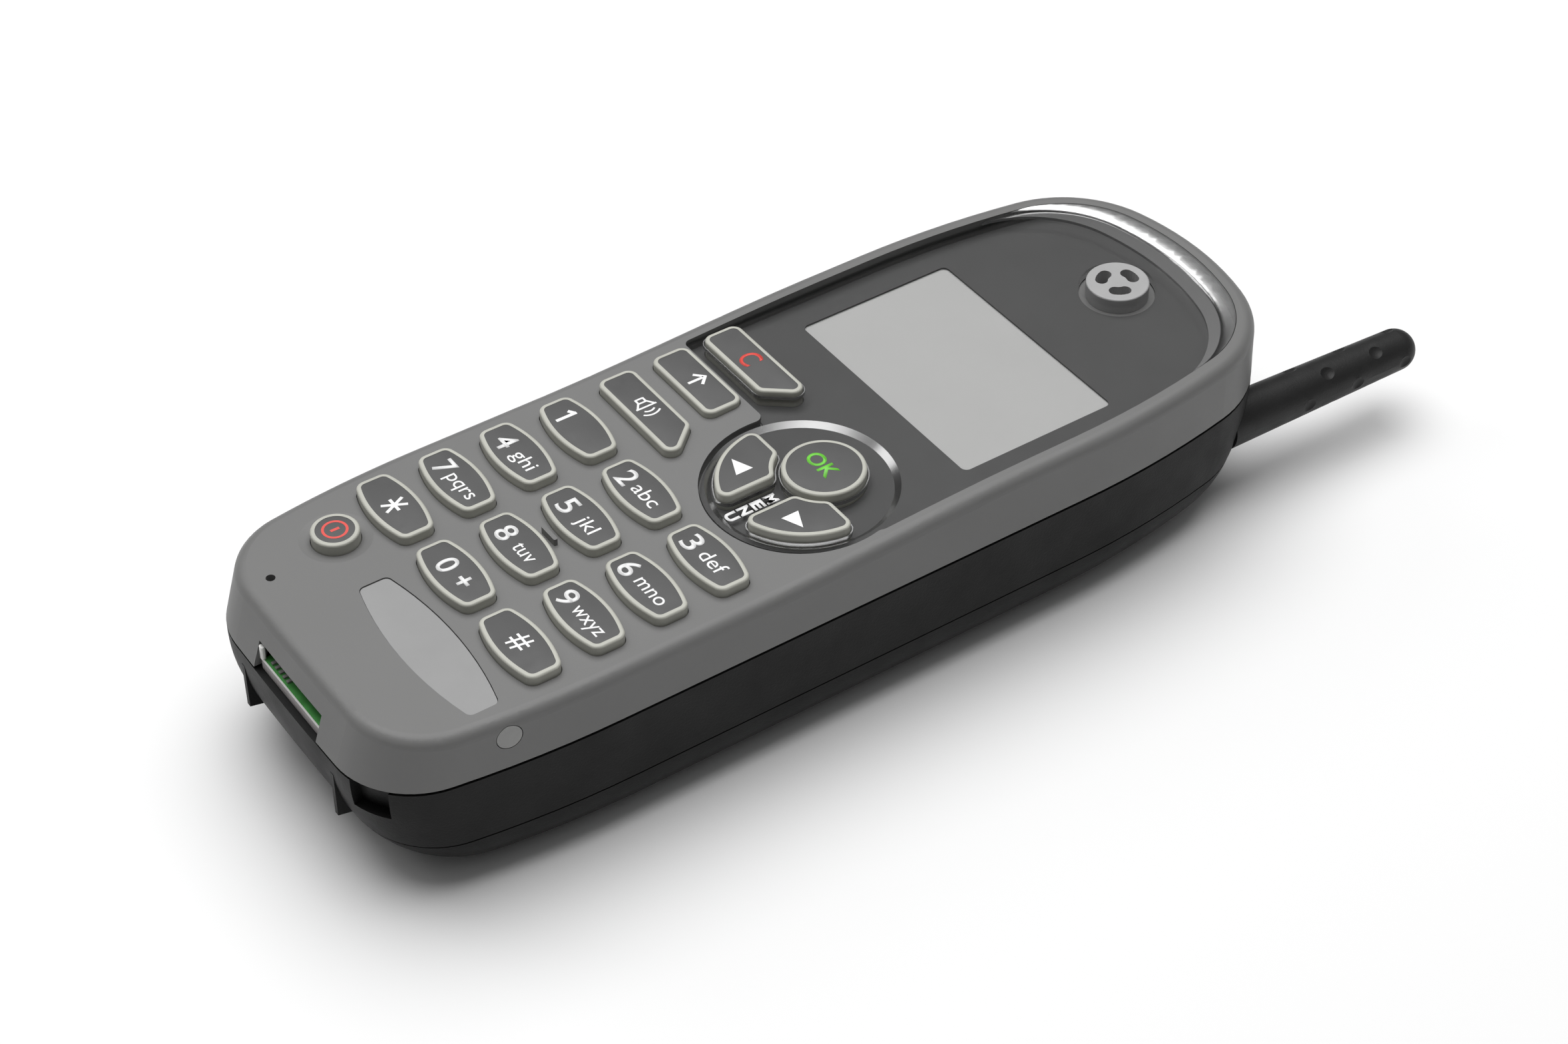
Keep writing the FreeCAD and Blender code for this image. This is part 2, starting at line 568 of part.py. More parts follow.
def keypad_mat():
    """Rubber mat with a post under each key, standing on a rim round its edge."""
    skin = prism(mat_plan(), *MAT_SKIN)
    rim = prism(mat_plan().cut(mat_plan().makeOffset2D(-0.9)), KEYPAD_BOARD[1] + 0.2, MAT_SKIN[1])
    posts = []
    for core in ALL_KEYS.values():
        centre = core.CenterOfMass
        posts.append(cylinder(centre.x, centre.y, MAT_SKIN[0], MAT_POST_TOP, 1.5))
    return fused(skin, rim, *posts)


def dome_sheet():
    """Film with a snap dome under each key."""
    base = KEYPAD_BOARD[1]
    film = prism(mat_plan().makeOffset2D(-0.3), base, base + 0.1)
    dome_radius, dome_height = 2.1, 0.45
    sphere = (dome_radius ** 2 + dome_height ** 2) / (2 * dome_height)
    domes = []
    for core in ALL_KEYS.values():
        centre = core.CenterOfMass
        ball = Part.makeSphere(sphere, Vector(centre.x, centre.y, base + dome_height - sphere))
        domes.append(ball.common(cylinder(centre.x, centre.y, base, base + 1, dome_radius + 0.2)))
    return fused(film, *domes)


def lcd_parts():
    y0, y1 = SCREEN_FROM_Y, SCREEN_TO_Y
    glass = rounded_box(-18.6, 18.6, y0 - 0.8, y1 + 0.8, 22.9, 24.35, 0.5)
    ring = rounded_box(-20.2, 20.2, y0 - 3.4, y1 + 3.4, 20.0, 23.45, 1.0)
    ring = ring.cut(box(-18.75, 18.75, y0 - 1.0, y1 + 1.0, 21.2, 25))
    ring = ring.cut(box(-18.75, 18.75, y0 - 2.6, y0 - 1.2, 19, 25))
    ring = ring.cut(box(-18.75, 18.75, y1 + 1.2, y1 + 2.6, 19, 25))
    guide = box(-18.4, 18.4, y0 - 0.7, y1 + 0.7, 21.4, 22.8)
    strips = [box(-17.5, 17.5, y0 - 2.4, y0 - 1.4, 19.7, 23.3), box(-17.5, 17.5, y1 + 1.4, y1 + 2.4, 19.7, 23.3)]
    return glass, ring, guide, strips


def ring(x, y, z0, z1, outer, inner):
    return cylinder(x, y, z0, z1, outer).cut(cylinder(x, y, z0 - 1, z1 + 1, inner))


def earpiece_speaker():
    can_body = cylinder(0, EARPIECE_Y, 19.8, 22.4, 5.6)
    return fused(can_body, cylinder(0, EARPIECE_Y, 22.3, 22.7, 4.6)).cut(cylinder(0, EARPIECE_Y, 22.5, 23, 4.0))


def microphone_boot():
    boot = cylinder(MIC_X, MIC_Y, 19.75, 22.9, 2.5)
    boot = boot.cut(cylinder(MIC_X, MIC_Y, 19, 21.75, 2.05))
    return boot.cut(cylinder(MIC_X, MIC_Y, 19, 25, 0.5))


def system_connector():
    """Contact block under the board edge, facing out of the bottom notch."""
    block = box(NOTCH_FROM_X + 0.9, NOTCH_TO_X - 0.9, BOTTOM_Y + 2.1, BOTTOM_Y + 6.5, 15.6, 18.5)
    shelf = box(NOTCH_FROM_X + 0.5, NOTCH_TO_X - 0.5, BOTTOM_Y + 0.95, BOTTOM_Y + 2.2, 18.1, 18.5)
    face = box(NOTCH_FROM_X + 0.5, NOTCH_TO_X - 0.5, BOTTOM_Y + 0.95, BOTTOM_Y + 1.15, 18.1, 19.5)
    blades = []
    for index in range(5):
        x = NOTCH_FROM_X + 2.1 + index * 0.95
        blades.append(box(x - 0.22, x + 0.22, BOTTOM_Y + 1.5, BOTTOM_Y + 4.2, KEYPAD_BOARD[1] + 0.02, 19.85))
    return [fused(block, shelf, face)] + blades


def connector_guide():
    """White strip along the board's edge, with a rounded post at one end."""
    strip = box(NOTCH_FROM_X + 0.2, NOTCH_TO_X - 0.5, BOTTOM_Y + 0.95, BOTTOM_Y + 1.13, 19.52, 19.7)
    post = rounded_box(NOTCH_FROM_X + 0.15, NOTCH_FROM_X + 0.95, BOTTOM_Y + 0.9, BOTTOM_Y + 1.5, 19.65, 21.6, 0.25)
    return fused(strip, post)


def headset_jack():
    barrel_body = jack_cylinder(15.0, 22.6, JACK_COVER_RADIUS)
    return barrel_body.cut(jack_cylinder(16.0, 30, 1.2))


def jack_plug():
    """Soft bung: a flush head and a stem in the jack's bore."""
    head = jack_cylinder(22.85, 25, JACK_COVER_RADIUS)
    head = head.common(front_solid(0.02, PARTING, 28))
    stem = jack_cylinder(19.2, 22.9, 1.0)
    hole = Part.makeCylinder(0.16, 0.8, Vector(24.0, JACK_Y - 0.75, JACK_Z + 0.75), Vector(1, 0, 0))
    return fused(head, stem).cut(hole)


def buzzer():
    return fused(cylinder(0, 42.0, 13.4, 17.2, 5.0).cut(cylinder(0, 42.0, 16.8, 18, 1.0)),
                 cylinder(0, 42.0, 17.1, 17.5, 3.0).cut(cylinder(0, 42.0, 16.8, 18, 1.0)))


def sim_holder():
    tray = box(-13.0, 13.0, -40.0, -24.0, 10.9, 12.1)
    rails = [box(-13.0, -12.2, -40.0, -24.0, 9.7, 11.0), box(12.2, 13.0, -40.0, -24.0, 9.7, 11.0)]
    return fused(tray, *rails)


def sim_card():
    plan = [Vector(-12.0, -39.5, 0), Vector(12.0, -39.5, 0), Vector(12.0, -27.5, 0),
            Vector(9.0, -24.5, 0), Vector(-12.0, -24.5, 0)]
    return prism(Part.Face(Part.makePolygon(plan + plan[:1])), 9.95, 10.7)


def battery_contacts():
    pins = []
    for index in range(4):
        x = -6.0 + index * 4.0
        pins.append(fused(box(x - 0.6, x + 0.6, 17.3, 19.7, 9.6, 12.1), cylinder(x, 18.5, 8.35, 9.7, 0.5)))
    return pins


def battery_terminals():
    return [box(-6.9 + i * 4.0, -5.1 + i * 4.0, 17.2, 19.8, 7.8, 7.95) for i in range(4)]


def antenna_dimples():
    """Shallow round dimples in six staggered rows round the rod."""
    ball = (DIMPLE_RADIUS ** 2 + DIMPLE_DEPTH ** 2) / (2 * DIMPLE_DEPTH)
    taper = (ANTENNA_BASE_RADIUS - ANTENNA_TIP_RADIUS) / (ANTENNA_TIP_Y - ANTENNA_START_Y)
    for row in range(6):
        angle = math.radians(60 * row)
        stagger = row % 2
        for index in range(3 - stagger):
            y = DIMPLE_START_Y + DIMPLE_PITCH * (index + 0.47 * stagger)
            surface = ANTENNA_BASE_RADIUS - taper * (y - ANTENNA_START_Y)
            out = surface - DIMPLE_DEPTH + ball
            centre = Vector(out * math.cos(angle), -out * math.sin(angle), y - ANTENNA_Y)
            yield antenna_axis(Part.makeSphere(ball, centre))


def antenna_rod():
    """Round rod with a narrow neck, a domed tip and a bore for its core."""
    reach = ANTENNA_TIP_Y - ANTENNA_TIP_RADIUS
    neck = antenna_cylinder(47.0, ANTENNA_START_Y + 0.5, 2.5)
    rod = antenna_cylinder(ANTENNA_START_Y, reach, ANTENNA_BASE_RADIUS, ANTENNA_TIP_RADIUS)
    tip = Part.makeSphere(ANTENNA_TIP_RADIUS, Vector(0, 0, reach - ANTENNA_Y))
    tip = antenna_axis(tip)
    solid = fused(neck, rod, tip).cut(antenna_cylinder(40, 74, 1.6))
    return solid.cut(Part.makeCompound(list(antenna_dimples())))


def antenna_core():
    """Brass stud, threaded at its inner end, with the wound section inside the rod."""
    stud = antenna_cylinder(41.5, 74, 1.1)
    collars = [antenna_cylinder(y, y + 1.2, 1.5) for y in (52, 57, 62, 67, 72)]
    thread = [antenna_cylinder(42.0 + 0.9 * i, 42.5 + 0.9 * i, 1.4) for i in range(4)]
    return fused(stud, *collars, *thread)


def antenna_socket():
    bush = antenna_cylinder(41.8, 46.2, 2.7)
    return bush.cut(antenna_cylinder(40, 48, 1.6))


def antenna_clip():
    """Leaf contact from the socket back to the board."""
    z = MAIN_BOARD[1]
    foot = box(9.5, 12.2, 43.2, 45.2, z + 0.05, z + 0.3)
    arm = box(9.5, 9.8, 43.2, 45.2, z + 0.05, z + 1.9)
    leaf = box(9.5, 17.0, 43.2, 45.2, z + 1.6, z + 1.9)
    return fused(foot, arm, leaf)


def housing_screws():
    screws = []
    for x, y in SCREWS:
        z = REAR_BOTTOM + 0.5
        head = cylinder(x, y, z, z + 1.3, 1.9).cut(box(x - 0.25, x + 0.25, y - 1.2, y + 1.2, 0, z + 0.6))
        head = head.cut(box(x - 1.2, x + 1.2, y - 0.25, y + 0.25, 0, z + 0.6))
        screws.append(fused(head, cylinder(x, y, z + 1.2, 22.6, 0.85)))
    return screws


os.makedirs("parts", exist_ok=True)

save("front_housing", front_housing())
save("display_lens", display_lens())
save("display_mask", display_mask())
save("name_plate", name_plate())
save("earpiece_grille", earpiece_grille())
for key_name, key_core in ALL_KEYS.items():
    save(key_name, key_solid(key_name, key_core))

save("keypad_mat", keypad_mat())
save("dome_sheet", dome_sheet())
save("keypad_board", keypad_board())

lcd_glass, lcd_frame, lcd_light_guide, lcd_strips = lcd_parts()
save("lcd_glass", lcd_glass)
save("lcd_frame", lcd_frame)
save("lcd_light_guide", lcd_light_guide)
save("lcd_contact_strips", *lcd_strips)

save("earpiece_speaker", earpiece_speaker())
save("earpiece_gasket", ring(0, EARPIECE_Y, 22.75, 23.55, 5.2, 4.0))
save("microphone", cylinder(MIC_X, MIC_Y, 19.65, 21.7, 2.0))
save("microphone_boot", microphone_boot())
save("buzzer", buzzer())

save("main_board", main_board())
save("board_parts", *board_chips(), *keypad_leds())
save("logic_shield", can(-16.5, 16.5, -70, -32, MAIN_BOARD[1] + 0.05, 16.6))
save("rf_shield", can(-14.0, 14.0, 3, 32, MAIN_BOARD[1] + 0.05, 16.2))
save("board_connector", box(-10, 10, -22, -18, MAIN_BOARD[1] + 0.05, KEYPAD_BOARD[0] - 0.05))
save("sim_holder", sim_holder())
save("sim_card", sim_card())
save("battery_contacts", *battery_contacts())

save("system_connector", *system_connector())
save("connector_guide", connector_guide())
save("headset_jack", headset_jack())
save("jack_plug", jack_plug())

save("rear_housing", rear_housing())
save("housing_screws", *housing_screws())
save("battery_cover", battery_cover())
save("battery_lid", battery_lid())
save("battery_cells", *battery_cells())
save("battery_terminals", *battery_terminals())
save("battery_latch", battery_latch())
save("latch_spring", latch_spring())

save("antenna_rod", antenna_rod())
save("antenna_core", antenna_core())
save("antenna_socket", antenna_socket())
save("antenna_clip", antenna_clip())
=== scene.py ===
import json
import math

import bmesh
import bpy
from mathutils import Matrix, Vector


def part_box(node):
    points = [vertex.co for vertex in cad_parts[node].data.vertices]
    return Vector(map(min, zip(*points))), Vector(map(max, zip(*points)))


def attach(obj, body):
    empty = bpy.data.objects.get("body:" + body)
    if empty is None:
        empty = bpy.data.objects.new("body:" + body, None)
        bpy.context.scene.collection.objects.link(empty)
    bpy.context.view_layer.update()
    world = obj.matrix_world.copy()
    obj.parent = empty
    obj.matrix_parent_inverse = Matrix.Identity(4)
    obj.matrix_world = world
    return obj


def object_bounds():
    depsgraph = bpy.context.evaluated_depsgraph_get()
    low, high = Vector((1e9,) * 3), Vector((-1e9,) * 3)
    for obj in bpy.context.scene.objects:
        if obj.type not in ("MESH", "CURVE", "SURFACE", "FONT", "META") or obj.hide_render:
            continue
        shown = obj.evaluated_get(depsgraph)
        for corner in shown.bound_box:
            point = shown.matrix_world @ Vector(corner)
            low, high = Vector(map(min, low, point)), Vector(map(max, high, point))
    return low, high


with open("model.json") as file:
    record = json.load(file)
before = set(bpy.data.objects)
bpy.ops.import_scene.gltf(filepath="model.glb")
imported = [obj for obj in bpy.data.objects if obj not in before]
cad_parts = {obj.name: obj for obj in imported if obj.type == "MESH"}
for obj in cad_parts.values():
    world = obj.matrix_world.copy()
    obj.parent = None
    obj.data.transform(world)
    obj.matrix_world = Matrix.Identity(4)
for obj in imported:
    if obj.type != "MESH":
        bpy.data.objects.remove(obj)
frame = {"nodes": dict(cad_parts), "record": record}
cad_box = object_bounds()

MM = 0.001
NODES = frame["nodes"]
BODY_OF = {node: body for body, nodes in frame["record"]["behaviour"]["bodies"].items() for node in nodes}


# ---- Materials ---------------------------------------------------------------

# The middle of the noise's range, where nearly all of its values fall
NOISE_LOW, NOISE_HIGH = 0.3, 0.7


class Look:
    """A node material in object space: noise at several scales drives colour, roughness and bump."""

    def __init__(self, name, color, roughness, **inputs):
        self.material = bpy.data.materials.new(name)
        self.material.use_nodes = True
        self.tree = self.material.node_tree
        self.shader = self.tree.nodes["Principled BSDF"]
        self.color = color
        self.roughness = roughness
        self.place = self.node("ShaderNodeTexCoord").outputs["Object"]
        self.shader.inputs["Base Color"].default_value = (*color, 1)
        self.shader.inputs["Roughness"].default_value = roughness
        for key, value in inputs.items():
            self.shader.inputs[key.replace("_", " ")].default_value = value

    def node(self, kind, **values):
        made = self.tree.nodes.new(kind)
        for key, value in values.items():
            setattr(made, key, value)
        return made

    def link(self, source, target):
        self.tree.links.new(source, target)

    def calculate(self, operation, *values):
        """A maths node; each value is a number or another node's output."""
        node = self.node("ShaderNodeMath", operation=operation)
        for socket, value in zip(node.inputs, values):
            if isinstance(value, (int, float)):
                socket.default_value = value
            else:
                self.link(value, socket)
        return node.outputs["Value"]

    def noise(self, size_mm, detail=3.0, stretch=(1, 1, 1)):
        """Noise whose features are about size_mm across."""
        mapping = self.node("ShaderNodeMapping")
        mapping.inputs["Scale"].default_value = [s / (size_mm * MM) for s in stretch]
        self.link(self.place, mapping.inputs["Vector"])
        noise = self.node("ShaderNodeTexNoise")
        noise.inputs["Scale"].default_value = 1.0
        noise.inputs["Detail"].default_value = detail
        self.link(mapping.outputs["Vector"], noise.inputs["Vector"])
        return noise.outputs["Fac"]

    def ranged(self, noise, low, high):
        """Noise spread over low to high."""
        node = self.node("ShaderNodeMapRange")
        node.inputs["From Min"].default_value = NOISE_LOW
        node.inputs["From Max"].default_value = NOISE_HIGH
        node.inputs["To Min"].default_value = low
        node.inputs["To Max"].default_value = high
        self.link(noise, node.inputs["Value"])
        return node.outputs["Result"]

    def tone(self, size_mm, amount):
        """Colour drifts by a share of itself."""
        mix = self.node("ShaderNodeMix", data_type="RGBA")
        mix.inputs["A"].default_value = (*[c * (1 - amount) for c in self.color], 1)
        mix.inputs["B"].default_value = (*[min(1.0, c * (1 + amount)) for c in self.color], 1)
        self.link(self.ranged(self.noise(size_mm, 4.0), 0, 1), mix.inputs["Factor"])
        self.link(mix.outputs["Result"], self.shader.inputs["Base Color"])

    def smudge(self, size_mm, amount, stretch=(1, 1, 1)):
        """Roughness wanders, as handled plastic's does."""
        noise = self.noise(size_mm, 5.0, stretch)
        value = self.ranged(noise, self.roughness - amount, self.roughness + amount)
        self.link(value, self.shader.inputs["Roughness"])

    def grain(self, size_mm, height_mm, detail=2.0, stretch=(1, 1, 1)):
        """Bump whose full height is height_mm."""
        bump = self.node("ShaderNodeBump")
        bump.inputs["Strength"].default_value = 1.0
        bump.inputs["Distance"].default_value = height_mm * MM
        self.link(self.noise(size_mm, detail, stretch), bump.inputs["Height"])
        self.link(bump.outputs["Normal"], self.shader.inputs["Normal"])


def surface(name, color, roughness, tone, smudge, grain, brushed=(1, 1), **inputs):
    """Opaque look. tone, smudge and grain: size in mm and amount; brushed: how much finer the
    smudge and the grain are along Y."""
    look = Look(name, color, roughness, **inputs)
    look.tone(*tone)
    look.smudge(*smudge, stretch=(1, brushed[0], 1))
    look.grain(*grain, stretch=(1, brushed[1], 1))
    return look


def legend_look(name, color, tone_amount):
    return surface(name, color, 0.5, (1, tone_amount), (1, 0.05), (0.1, 0.003))


# Heights of the lens's two flats, and how far a point may lie from one and still belong to it
LENS_TOP, NAV_FLOOR = 25.9 * MM, 25.3 * MM
FLAT_TOLERANCE = 0.02 * MM
LENS_TINT = (0.46, 0.46, 0.46)
LENS_IOR = 1.45
FLAT_ROUGHNESS, EDGE_ROUGHNESS = 0.05, 0.2
LENS_WEAR = 0.004
EDGE_SHINE = 0.85


def clear_lens():
    """Clear moulding: see-through with a mirror sheen on its flats, bright on its edges and crown."""
    look = Look("clear_lens", LENS_TINT, FLAT_ROUGHNESS, Metallic=1.0)
    look.tone(6, 0.02)
    look.grain(6, 0.0005, detail=0.0)
    split = look.node("ShaderNodeSeparateXYZ")
    look.link(look.place, split.inputs["Vector"])
    height = split.outputs["Z"]
    on_top = look.calculate("COMPARE", height, LENS_TOP, FLAT_TOLERANCE)
    on_floor = look.calculate("COMPARE", height, NAV_FLOOR, FLAT_TOLERANCE)
    below = look.calculate("LESS_THAN", height, NAV_FLOOR)
    flat = look.calculate("MAXIMUM", look.calculate("MAXIMUM", on_top, on_floor), below)
    off_flat = look.calculate("SUBTRACT", 1.0, flat)
    worn = look.ranged(look.noise(7), FLAT_ROUGHNESS - LENS_WEAR, FLAT_ROUGHNESS + LENS_WEAR)
    roughness = look.calculate("MULTIPLY_ADD", off_flat, EDGE_ROUGHNESS - FLAT_ROUGHNESS, worn)
    look.link(roughness, look.shader.inputs["Roughness"])
    sheen = look.node("ShaderNodeFresnel")
    sheen.inputs["IOR"].default_value = LENS_IOR
    edge = look.calculate("MULTIPLY", off_flat, EDGE_SHINE)
    shine = look.calculate("MAXIMUM", sheen.outputs["Fac"], edge)
    inward = look.node("ShaderNodeNewGeometry").outputs["Backfacing"]
    alpha = look.calculate("MULTIPLY", shine, look.calculate("SUBTRACT", 1.0, inward))
    look.link(alpha, look.shader.inputs["Alpha"])
    return look


LOOKS = {
    "front_grey": surface("painted_grey", (0.163, 0.163, 0.161), 0.45, (18, 0.03), (9, 0.06), (0.22, 0.012),
                          Specular_IOR_Level=0.35),
    "rear_black": surface("rear_black", (0.01, 0.01, 0.01), 0.5, (12, 0.12), (6, 0.07), (0.3, 0.03),
                          Specular_IOR_Level=0.16),
    "key_pale": surface("key_pale", (0.47, 0.47, 0.42), 0.4, (5, 0.05), (3, 0.06), (0.15, 0.008),
                        Specular_IOR_Level=0.45),
    "inlay_dark": surface("inlay_dark", (0.079, 0.079, 0.079), 0.5, (4, 0.06), (2, 0.08), (0.12, 0.008),
                          Specular_IOR_Level=0.4),
    "mask_dark": surface("mask_dark", (0.058, 0.058, 0.058), 0.5, (10, 0.05), (6, 0.06), (0.2, 0.004),
                         Specular_IOR_Level=0.3),
    "plate_silver": surface("plate_silver", (0.285, 0.285, 0.285), 0.42, (6, 0.03), (4, 0.06), (0.1, 0.006),
                            Specular_IOR_Level=0.35),
    "grille_grey": surface("grille_grey", (0.36, 0.36, 0.36), 0.45, (3, 0.04), (2, 0.06), (0.12, 0.01)),
    "bung_grey": surface("bung_grey", (0.3, 0.3, 0.295), 0.6, (2, 0.05), (1.5, 0.08), (0.2, 0.015)),
    "lcd_grey": surface("lcd_grey", (0.41, 0.41, 0.405), 0.45, (9, 0.01), (8, 0.02), (0.3, 0.001),
                        Specular_IOR_Level=0.2),
    "white_plastic": surface("white_plastic", (0.75, 0.75, 0.73), 0.4, (4, 0.03), (3, 0.06), (0.2, 0.006)),
    # The connector's grey is lighter than its own colour, to make up for the shade its face sits in: part its
    # own colour, part painted light
    "connector_grey": surface("connector_grey", (0.33, 0.31, 0.31), 0.45, (3, 0.06), (2, 0.06), (0.2, 0.01)),
    "board_green": surface("board_green", (0.075, 0.33, 0.075), 0.4, (2, 0.18), (2, 0.08), (0.4, 0.02)),
    "chip_black": surface("chip_black", (0.02, 0.02, 0.021), 0.45, (3, 0.15), (2, 0.08), (0.15, 0.01)),
    "rubber_pale": surface("rubber_pale", (0.42, 0.42, 0.39), 0.7, (4, 0.05), (3, 0.06), (0.3, 0.02)),
    "rubber_dark": surface("rubber_dark", (0.025, 0.025, 0.025), 0.7, (4, 0.1), (3, 0.06), (0.3, 0.02)),
    "film": surface("film", (0.55, 0.5, 0.36), 0.3, (5, 0.06), (4, 0.06), (0.3, 0.01)),
    "steel": surface("tinned_steel", (0.56, 0.56, 0.57), 0.32, (4, 0.06), (3, 0.1), (0.2, 0.006),
                     brushed=(6, 8), Metallic=1.0),
    "gold": surface("gold_plate", (0.74, 0.56, 0.24), 0.28, (2, 0.08), (1.5, 0.08), (0.2, 0.004),
                    Metallic=1.0),
    "cell_case": surface("cell_case", (0.6, 0.6, 0.62), 0.35, (8, 0.05), (4, 0.1), (0.3, 0.006),
                         brushed=(5, 8), Metallic=1.0),
    "antenna_black": surface("antenna_black", (0.018, 0.018, 0.018), 0.48, (5, 0.12), (3, 0.06), (0.25, 0.03),
                             Specular_IOR_Level=0.25),
    "legend_white": legend_look("legend_white", (0.85, 0.85, 0.85), 0.03),
    "legend_red": legend_look("legend_red", (0.72, 0.075, 0.06), 0.06),
    "legend_green": legend_look("legend_green", (0.17, 0.62, 0.06), 0.06),
    "clear_lens": clear_lens(),
}


def dress_cad():
    slots = {entry["node"]: entry["material_slot"] for entry in frame["record"]["subparts"]}
    for node, obj in NODES.items():
        for slot in obj.material_slots:
            slot.material = LOOKS[slots[node]].material


# ---- Mesh helpers --------------------------------------------------------------

SHARP_ANGLE = math.radians(35)


def raise_faces(bm, height):
    """Extrude every face upwards and return the raised corners."""
    grown = bmesh.ops.extrude_face_region(bm, geom=bm.faces[:])
    raised = [v for v in grown["geom"] if isinstance(v, bmesh.types.BMVert)]
    bmesh.ops.translate(bm, verts=raised, vec=(0, 0, height))
    return raised


def finish_piece(name, bm, slot, body, smooth=True):
    bmesh.ops.recalc_face_normals(bm, faces=bm.faces)
    mesh = bpy.data.meshes.new(name)
    bm.to_mesh(mesh)
    bm.free()
    if smooth:
        mesh.shade_smooth()
        mesh.set_sharp_from_angle(angle=SHARP_ANGLE)
    mesh.materials.append(LOOKS[slot].material)
    obj = bpy.data.objects.new(name, mesh)
    bpy.context.scene.collection.objects.link(obj)
    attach(obj, body)


# ---- Key inlays: grown from the floor of each key's own pocket -------------------

POCKET_DEPTH = 0.15 * MM
INLAY_BELOW_RIM = 0.03 * MM
INLAY_ROUNDING = 0.05 * MM
WELD = 1e-6
LEVEL_TOLERANCE = 0.02 * MM
STRAIGHT = 0.001


def pocket_floor(node):
    """The flat floor of a key's pocket, with straight stretches of its outline in one piece."""
    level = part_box(node)[1].z - POCKET_DEPTH
    bm = bmesh.new()
    bm.from_mesh(NODES[node].data)
    bmesh.ops.remove_doubles(bm, verts=bm.verts, dist=WELD)
    away = [f for f in bm.faces if any(abs(v.co.z - level) > LEVEL_TOLERANCE for v in f.verts)]
    bmesh.ops.delete(bm, geom=away, context="FACES")
    bmesh.ops.dissolve_limit(bm, angle_limit=STRAIGHT, verts=bm.verts, edges=bm.edges)
    return bm


def make_inlay(node):
    bm = pocket_floor(node)
    raised = raise_faces(bm, POCKET_DEPTH - INLAY_BELOW_RIM)
    rim = [e for e in bm.edges if all(v in raised for v in e.verts) and len(e.link_faces) == 2]
    bmesh.ops.bevel(bm, geom=rim, offset=INLAY_ROUNDING, segments=2, profile=0.7, affect="EDGES")
    finish_piece(node.replace("key_", "inlay_"), bm, "inlay_dark", BODY_OF[node])


# ---- Legends ---------------------------------------------------------------------
# Marks and boxes are in mm from the middle of their key.

LEGEND_HEIGHT = 0.022 * MM
LEGEND_ROOT = 0.005 * MM


def legend_place(node):
    """Middle of a key, at the height where its legend starts, a little inside the inlay."""
    low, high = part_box(node)
    middle = (low + high) / 2
    return Vector((middle.x, middle.y, high.z - INLAY_BELOW_RIM - LEGEND_ROOT))


def print_legend(name, bm, slot, body):
    raise_faces(bm, LEGEND_HEIGHT)
    finish_piece(name, bm, slot, body, smooth=False)


def text_mesh(text, bold):
    curve = bpy.data.curves.new("legend_text", "FONT")
    curve.body = text
    curve.size = 1.0
    curve.offset = bold
    curve.resolution_u = 8
    obj = bpy.data.objects.new("legend_text", curve)
    bpy.context.scene.collection.objects.link(obj)
    bpy.context.view_layer.update()
    mesh = bpy.data.meshes.new_from_object(obj.evaluated_get(bpy.context.evaluated_depsgraph_get()))
    bpy.data.objects.remove(obj)
    bpy.data.curves.remove(curve)
    return mesh


def fitted_text(name, text, place, box, slot, body, ruler=None, bold=0.012):
    """Text fitted to a box: left, right, bottom, top. A ruler gives the low and high lines of the
    lettering, in font units, that land on the bottom and the top."""
    bm = bmesh.new()
    mesh = text_mesh(text, bold)
    bm.from_mesh(mesh)
    bpy.data.meshes.remove(mesh)
    bmesh.ops.remove_doubles(bm, verts=bm.verts, dist=1e-5)
    left, right, bottom, top = box
    xs = [v.co.x for v in bm.verts]
    ys = [v.co.y for v in bm.verts]
    low_x, high_x = min(xs), max(xs)
    low_y, high_y = ruler or (min(ys), max(ys))
    scale_x = (right - left) / (high_x - low_x)
    scale_y = (top - bottom) / (high_y - low_y)
    for v in bm.verts:
        v.co.x = place.x + (left + (v.co.x - low_x) * scale_x) * MM
        v.co.y = place.y + (bottom + (v.co.y - low_y) * scale_y) * MM
        v.co.z = place.z
    print_legend(name, bm, slot, body)


def key_text(name, text, node, box, slot="legend_white", **options):
    fitted_text(name, text, legend_place(node), box, slot, BODY_OF[node], **options)


def key_mark(name, bm, node, slot="legend_white", offset=(0, 0)):
    """Put a flat mark, drawn in mm about its own origin, on a key."""
    place = legend_place(node)
    for v in bm.verts:
        v.co = Vector((place.x + (offset[0] + v.co.x) * MM, place.y + (offset[1] + v.co.y) * MM,
                       place.z + v.co.z * MM))
    print_legend(name, bm, slot, BODY_OF[node])


# Crossing strokes sit at slightly different heights (mm), so no two faces lie in one plane
LAYER = 0.002


def strokes(segments, width):
    """Flat bars between pairs of points."""
    bm = bmesh.new()
    for layer, ((ax, ay), (bx, by)) in enumerate(segments):
        along = Vector((bx - ax, by - ay)).normalized()
        side = Vector((-along.y, along.x)) * width / 2
        corners = [(ax + side.x, ay + side.y), (ax - side.x, ay - side.y),
                   (bx - side.x, by - side.y), (bx + side.x, by + side.y)]
        bm.faces.new([bm.verts.new((x, y, layer * LAYER)) for x, y in corners])
    return bm


def ring_arc(radius, width, start, end, steps, at=(0, 0)):
    """Flat part of a ring between two angles in degrees."""
    bm = bmesh.new()
    rows = []
    for i in range(steps + 1):
        a = math.radians(start + (end - start) * i / steps)
        rows.append([bm.verts.new((at[0] + r * math.cos(a), at[1] + r * math.sin(a), 0))
                     for r in (radius - width / 2, radius + width / 2)])
    for (a, b), (c, d) in zip(rows, rows[1:]):
        bm.faces.new((a, b, d, c))
    return bm


def joined(*parts):
    whole = bmesh.new()
    for bm in parts:
        mesh = bpy.data.meshes.new("part")
        bm.to_mesh(mesh)
        bm.free()
        whole.from_mesh(mesh)
        bpy.data.meshes.remove(mesh)
    return whole


